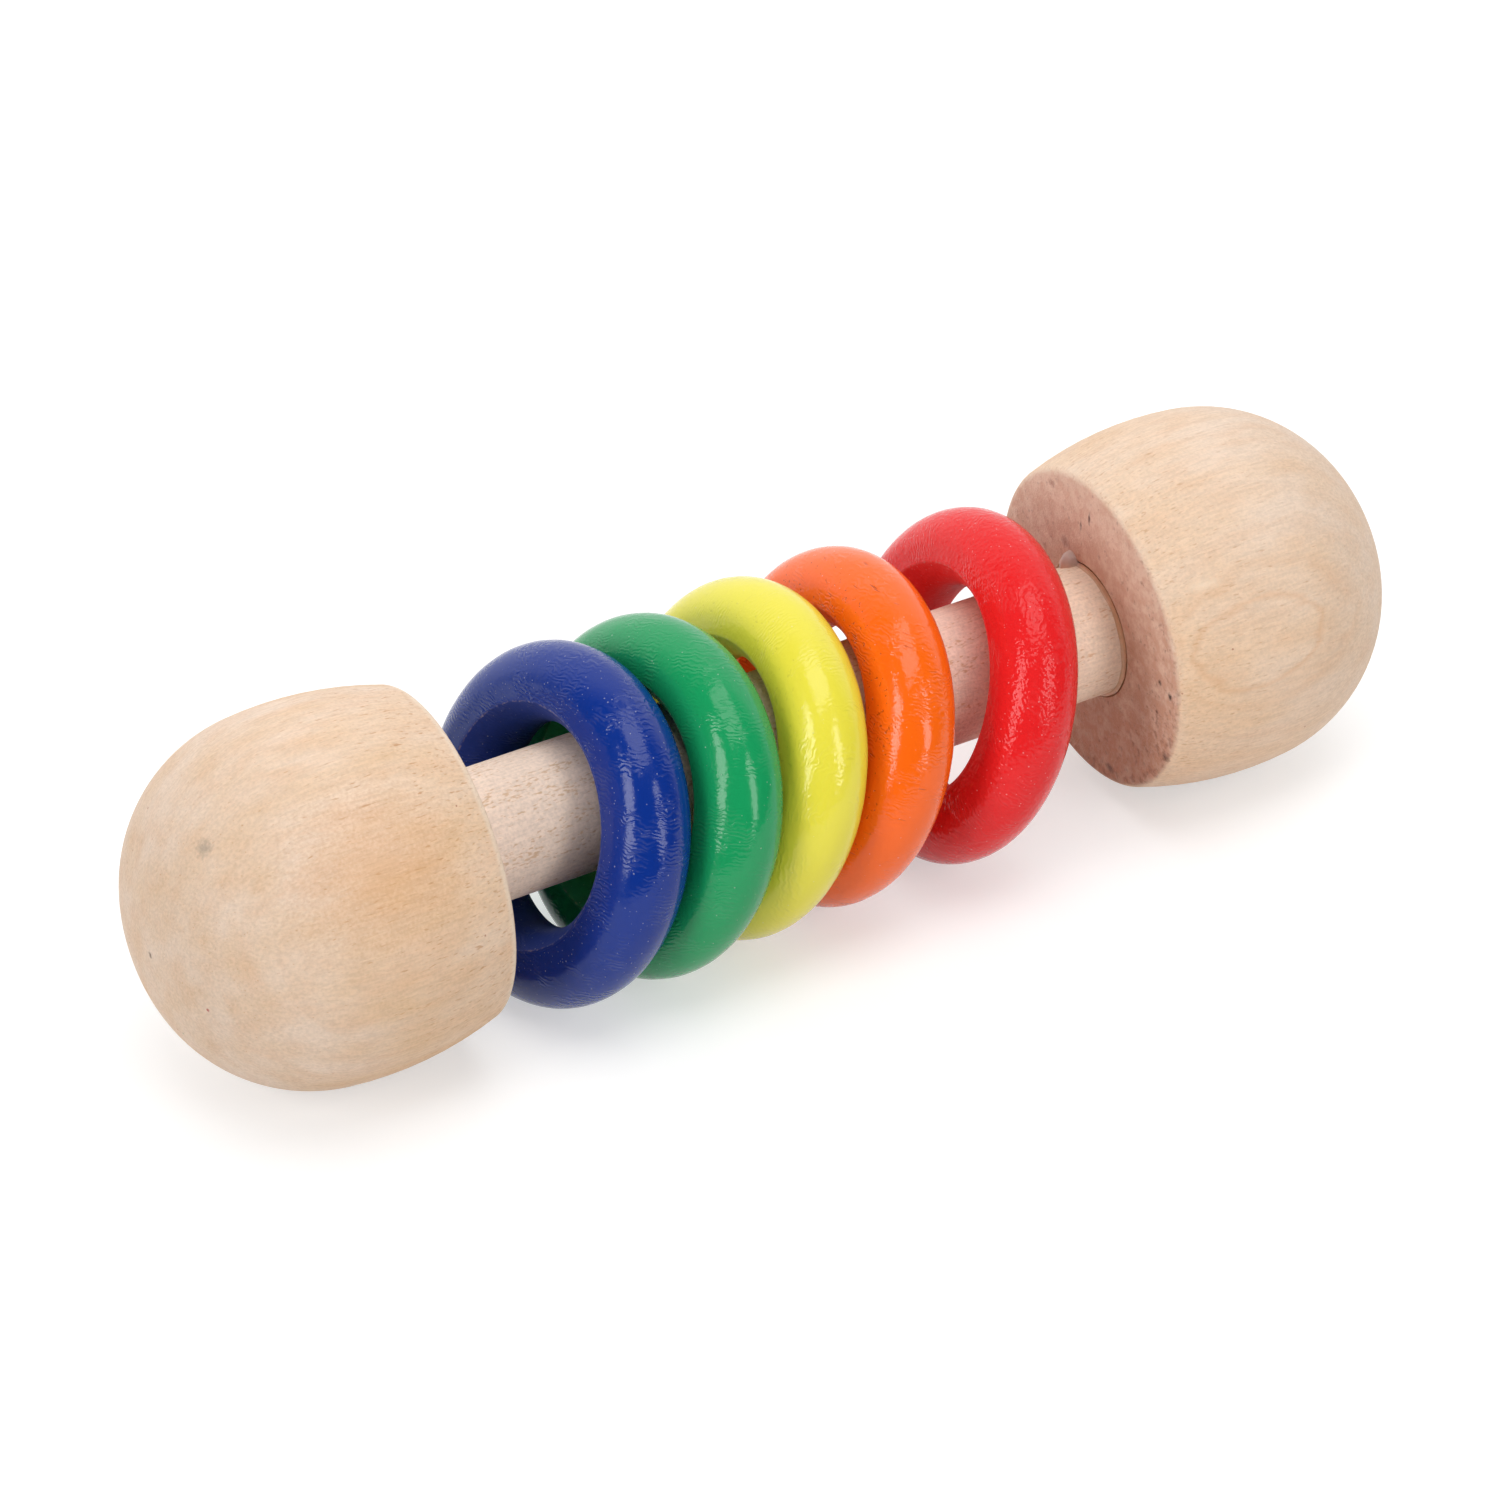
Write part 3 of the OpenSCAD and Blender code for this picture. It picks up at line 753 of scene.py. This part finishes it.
class RATTLE_OT_knobs(bpy.types.Operator):
    """Add the two turned knobs with their drilled sockets"""

    bl_idname = "rattle.knobs"
    bl_label = "Add knobs"

    def draw_section(self, bm, sizes):
        """Half section of a knob from the socket's end to the crown, as arcs that run into each other."""
        socket = sizes.dowel_radius + sizes.glue_film
        depth = sizes.socket_depth
        lead = sizes.socket_lead
        point = socket / tan(DRILL_POINT / 2)
        rim = sizes.rim_round
        flank = sizes.flank_radius
        shoulder = sizes.shoulder_radius
        crown = sizes.crown_radius
        flank_c = at(sizes.knob_widest, sizes.knob_radius - flank)
        crown_c = at(sizes.knob_length - crown, 0)
        shoulder_c = outer_crossing(flank_c, flank - shoulder, crown_c, crown - shoulder)
        rim_c = at(rim, flank_c.z + sqrt((flank - rim) ** 2 - (sizes.knob_widest - rim) ** 2))
        last = bm.verts.new(at(depth + point, 0))
        for x, z in ((depth, socket), (lead, socket), (0, socket + lead), (0, rim_c.z)):
            last = draw_line(bm, last, at(x, z))
        last = draw_arc(bm, last, rim_c, on_arc(flank_c, flank, rim_c), EDGE_STEP)
        last = draw_arc(bm, last, flank_c, on_arc(flank_c, flank, shoulder_c))
        last = draw_arc(bm, last, shoulder_c, on_arc(crown_c, crown, shoulder_c))
        draw_arc(bm, last, crown_c, at(sizes.knob_length, 0))

    def execute(self, context):
        colours = context.scene.rattle_colours
        for name, side, warm_wood, *figure in KNOBS:
            bm = bmesh.new()
            self.draw_section(bm, context.scene.rattle_sizes)
            turn_section(bm)
            at_end(bm, side)
            wood = knob_birch(
                f"sanded_birch_{name}", colours, getattr(colours, warm_wood), *figure,
                KNOB_LOOPS[name], KNOB_MARKS[name])
            make_piece(bm, f"knob_{name}", wood, "handle", f"{name}_knob")
        return {"FINISHED"}


class RATTLE_OT_glue(bpy.types.Operator):
    """Add the glue between dowel and knobs, with its bead and the squeezed-out drop"""

    bl_idname = "rattle.glue"
    bl_label = "Add glue"

    def draw_section(self, bm, sizes):
        """Section of the glue: a hollow bead on the dowel, and a film in the socket."""
        radius = sizes.dowel_radius
        bead = sizes.glue_bead
        hollow = BEAD_HOLLOW * bead
        socket = radius + sizes.glue_film
        lead = sizes.socket_lead
        end = sizes.socket_depth - sizes.end_room - sizes.dowel_chamfer
        first = bm.verts.new(at(-bead, radius))
        last = draw_arc(bm, first, at(-hollow, radius + hollow), at(0, radius + bead), BEAD_STEP)
        for x, z in ((0, socket + lead), (lead, socket), (end, socket), (end, radius)):
            last = draw_line(bm, last, at(x, z))
        bm.edges.new((last, first))

    def shape_bead(self, bm, radius, side):
        """Make the bead uneven, and on the right let it stand out in a drop."""
        for vert in bm.verts:
            if vert.co.x > 0:
                continue
            angle = atan2(vert.co.y, vert.co.z)
            off = hypot(vert.co.y, vert.co.z) - radius
            wave = noise.noise(Vector((BEAD_WAVES * cos(angle), BEAD_WAVES * sin(angle), side)))
            swell = BEAD_SHARE + BEAD_SWAY * wave
            apart = remainder(angle - DROP_ANGLE, 2 * pi) / DROP_SPREAD
            if side > 0 and abs(apart) < 1:
                swell = max(swell, DROP_SIZE * sqrt(1 - apart ** 2) / hypot(vert.co.x, off))
            spread = (radius + off * swell) / (radius + off)
            vert.co = Vector((vert.co.x * swell, vert.co.y * spread, vert.co.z * spread))

    def execute(self, context):
        sizes = context.scene.rattle_sizes
        glue = cured_glue("dried_wood_glue", context.scene.rattle_colours)
        for name, side in (("left", -1), ("right", 1)):
            bm = bmesh.new()
            self.draw_section(bm, sizes)
            turn_section(bm)
            self.shape_bead(bm, sizes.dowel_radius, side)
            at_end(bm, side)
            make_piece(bm, f"glue_{name}", glue, "handle", f"{name}_glue_joint")
        return {"FINISHED"}


class RATTLE_OT_rings(bpy.types.Operator):
    """Add the five loose lacquered rings, leaning on the dowel"""

    bl_idname = "rattle.rings"
    bl_label = "Add rings"

    def draw_section(self, bm, sizes):
        """Section of a ring: half round outside, short flat sides, and a bore that swells inwards."""
        half = sizes.ring_width / 2
        edge = sizes.ring_edge
        round_c = at(0, sizes.ring_bore + sizes.ring_wall - half)
        swell = (half ** 2 + sizes.bore_swell ** 2) / (2 * sizes.bore_swell)
        swell_c = at(0, sizes.ring_bore + swell)
        edge_z = swell_c.z - sqrt((swell - edge) ** 2 - (half - edge) ** 2)
        right = at(half - edge, edge_z)
        left = at(edge - half, edge_z)
        first = bm.verts.new(on_arc(swell_c, swell, left))
        last = draw_arc(bm, first, swell_c, on_arc(swell_c, swell, right))
        last = draw_arc(bm, last, right, at(half, edge_z), EDGE_STEP)
        last = draw_line(bm, last, at(half, edge_z + edge))
        last = draw_line(bm, last, at(half, round_c.z))
        last = draw_arc(bm, last, round_c, at(0, round_c.z + half))
        last = draw_arc(bm, last, round_c, at(-half, round_c.z))
        last = draw_line(bm, last, at(-half, edge_z + edge))
        last = draw_line(bm, last, at(-half, edge_z))
        draw_arc(bm, last, left, first.co.copy(), EDGE_STEP)

    def mark_surface(self, bm, sizes, shift):
        """Keep each point's place on the ring and its nearness to a mouth of the bore, then add swells."""
        local = bm.verts.layers.float_vector.new("ring_local")
        wear = bm.verts.layers.float.new("edge_wear")
        half = sizes.ring_width / 2
        mouth = sizes.ring_bore + sizes.bore_swell
        bm.normal_update()
        for vert in bm.verts:
            reach = hypot(abs(vert.co.x) - half, hypot(vert.co.y, vert.co.z) - mouth)
            vert[wear] = max(0.0, 1.0 - reach / sizes.ring_edge)
            vert[local] = vert.co
        for vert in bm.verts:
            swell = noise.noise(vert.co / LACQUER_SPREAD + Vector((shift, 0, 0)))
            vert.co += (LACQUER_SWELL * (swell - 1)) * vert.normal

    def execute(self, context):
        sizes = context.scene.rattle_sizes
        colours = context.scene.rattle_colours
        half = sizes.ring_width / 2
        middle = sizes.ring_bore + sizes.ring_wall - half
        for index, (colour, turn, grain, *levels) in enumerate(RINGS):
            bm = bmesh.new()
            self.draw_section(bm, sizes)
            turn_section(bm)
            self.mark_surface(bm, sizes, SWELL_SHIFT * index)
            low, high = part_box(f"{colour}_ring")
            lean = acos(((high.z - low.z) / 2 - half) / middle)
            bm.transform(
                Matrix.Translation((low + high) / 2)
                @ Matrix.Rotation(radians(turn), 4, "Z") @ Matrix.Rotation(lean, 4, "Y"))
            lacquer = ring_lacquer(
                f"{colour}_lacquer", getattr(colours, colour), grain, *levels, PATTERN_SHIFT * index)
            node = f"{colour}_ring"
            make_piece(bm, f"ring_{colour}", lacquer, node, node)
        return {"FINISHED"}


class RATTLE_OT_stage(bpy.types.Operator):
    """Add the white floor, the softboxes and the camera"""

    bl_idname = "rattle.stage"
    bl_label = "Add stage"

    def add_floor(self, context):
        """A white table top that shows as white by itself and keeps the object's shadow."""
        made, tree, shader = finish("white_table")
        out = tree.nodes["Material Output"]
        bounce = add(tree, "ShaderNodeBsdfDiffuse", {"Color": opaque([TABLE_BOUNCE] * 3)})
        seen = add(tree, "ShaderNodeBsdfDiffuse", {"Color": opaque([TABLE_SEEN] * 3)})
        glow = add(tree, "ShaderNodeEmission", {"Color": opaque([1.0] * 3), "Strength": TABLE_GLOW})
        shown = add(tree, "ShaderNodeAddShader", {0: seen.outputs[0], 1: glow.outputs[0]})
        ray = add(tree, "ShaderNodeLightPath")
        direct = add(tree, "ShaderNodeMath", {
            0: ray.outputs["Is Camera Ray"], 1: ray.outputs["Is Glossy Ray"]}, operation="MAXIMUM")
        direct = add(tree, "ShaderNodeMath", {
            0: direct.outputs[0], 1: ray.outputs["Is Transmission Ray"]}, operation="MAXIMUM")
        both = add(tree, "ShaderNodeMixShader", {
            0: direct.outputs[0], 1: bounce.outputs[0], 2: shown.outputs[0]})
        tree.links.new(both.outputs[0], out.inputs["Surface"])
        tree.nodes.remove(shader)
        bm = bmesh.new()
        bmesh.ops.create_grid(bm, x_segments=1, y_segments=1, size=TABLE_HALF)
        mesh = bpy.data.meshes.new("table_top")
        bm.to_mesh(mesh)
        bm.free()
        mesh.materials.append(made)
        floor = bpy.data.objects.new("table_top", mesh)
        context.scene.collection.objects.link(floor)

    def add_softbox(self, context, name, azimuth, elevation, wide, high, watts):
        """A lamp with a rectangular face that looks at the dowel's middle."""
        light = bpy.data.lights.new(name, "AREA")
        light.shape = "RECTANGLE"
        light.size = wide
        light.size_y = high
        light.energy = watts
        box = bpy.data.objects.new(name, light)
        towards = Vector((sin(azimuth) * cos(elevation), -cos(azimuth) * cos(elevation), sin(elevation)))
        box.location = SOFTBOX_AWAY * towards + Vector((0, 0, AXIS_Z))
        box.rotation_euler = towards.to_track_quat("Z", "Y").to_euler()
        context.scene.collection.objects.link(box)

    def add_room(self, context):
        """A white room that is darker on the side where the camera stands at first."""
        stage = context.scene.rattle_stage
        world = bpy.data.worlds.new("white_room")
        world.use_nodes = True
        tree = world.node_tree
        front = (sin(CAMERA_AZIMUTH), -cos(CAMERA_AZIMUTH), 0)
        place = add(tree, "ShaderNodeTexCoord").outputs["Generated"]
        facing = add(tree, "ShaderNodeVectorMath", {0: place, 1: front}, operation="DOT_PRODUCT")
        level = add(tree, "ShaderNodeMapRange", {
            "Value": facing.outputs["Value"], "From Min": ROOM_BACK_END, "From Max": ROOM_FRONT_START,
            "To Min": stage.room_back, "To Max": stage.room_front})
        room = tree.nodes["Background"]
        room.inputs["Color"].default_value = opaque([1.0] * 3)
        tree.links.new(level.outputs[0], room.inputs["Strength"])
        context.scene.world = world

    def add_camera(self, context):
        """The camera at the photograph's place, with its roll."""
        back = Vector((
            sin(CAMERA_AZIMUTH) * cos(CAMERA_ELEVATION), -cos(CAMERA_AZIMUTH) * cos(CAMERA_ELEVATION),
            sin(CAMERA_ELEVATION)))
        right = Vector((cos(CAMERA_AZIMUTH), sin(CAMERA_AZIMUTH), 0))
        up = back.cross(right)
        place = (
            back * CAMERA_AWAY + right * CAMERA_OFFSET[0] + up * CAMERA_OFFSET[1] + Vector((0, 0, AXIS_Z)))
        turned = (
            right * cos(CAMERA_ROLL) + up * sin(CAMERA_ROLL),
            up * cos(CAMERA_ROLL) - right * sin(CAMERA_ROLL),
            back)
        data = bpy.data.cameras.new("photo_camera")
        data.sensor_width = CAMERA_SENSOR
        data.lens = context.scene.rattle_stage.lens
        data.clip_start = CAMERA_CLIP
        camera = bpy.data.objects.new("photo_camera", data)
        context.scene.collection.objects.link(camera)
        camera.matrix_world = Matrix.Translation(place) @ Matrix(turned).transposed().to_4x4()
        context.scene.camera = camera

    def execute(self, context):
        self.add_floor(context)
        for name, azimuth, elevation, wide, high in SOFTBOXES:
            watts = getattr(context.scene.rattle_stage, name)
            self.add_softbox(
                context, f"{name}_softbox", radians(azimuth), radians(elevation), wide, high, watts)
        self.add_room(context)
        context.scene.view_settings.view_transform = "Standard"
        self.add_camera(context)
        return {"FINISHED"}


class RATTLE_PT_panel(bpy.types.Panel):
    """Lists the steps that build the rattle"""

    bl_idname = "RATTLE_PT_panel"
    bl_label = "Ring rattle"
    bl_space_type = "VIEW_3D"
    bl_region_type = "UI"
    bl_category = "Rattle"

    def draw(self, context):
        for step in STEPS:
            self.layout.operator(step.bl_idname)
        for group in (context.scene.rattle_sizes, context.scene.rattle_colours, context.scene.rattle_stage):
            box = self.layout.box()
            for name in group.__annotations__:
                box.prop(group, name)


GROUPS = {"rattle_sizes": RattleSizes, "rattle_colours": RattleColours, "rattle_stage": RattleStage}
STEPS = (RATTLE_OT_stage, RATTLE_OT_dowel, RATTLE_OT_knobs, RATTLE_OT_glue, RATTLE_OT_rings)


def register():
    """Make the classes known to Blender, and give the scene its settings."""
    for made in (*GROUPS.values(), *STEPS, RATTLE_PT_panel):
        bpy.utils.register_class(made)
    for name, group in GROUPS.items():
        setattr(bpy.types.Scene, name, bpy.props.PointerProperty(type=group))


def unregister():
    """Take back what register does."""
    for name in GROUPS:
        delattr(bpy.types.Scene, name)
    for made in reversed((*GROUPS.values(), *STEPS, RATTLE_PT_panel)):
        bpy.utils.unregister_class(made)


def main():
    """Build the stage and every piece."""
    register()
    bpy.ops.rattle.stage()
    bpy.ops.rattle.dowel()
    bpy.ops.rattle.knobs()
    bpy.ops.rattle.glue()
    bpy.ops.rattle.rings()


if __name__ == "__main__":
    main()
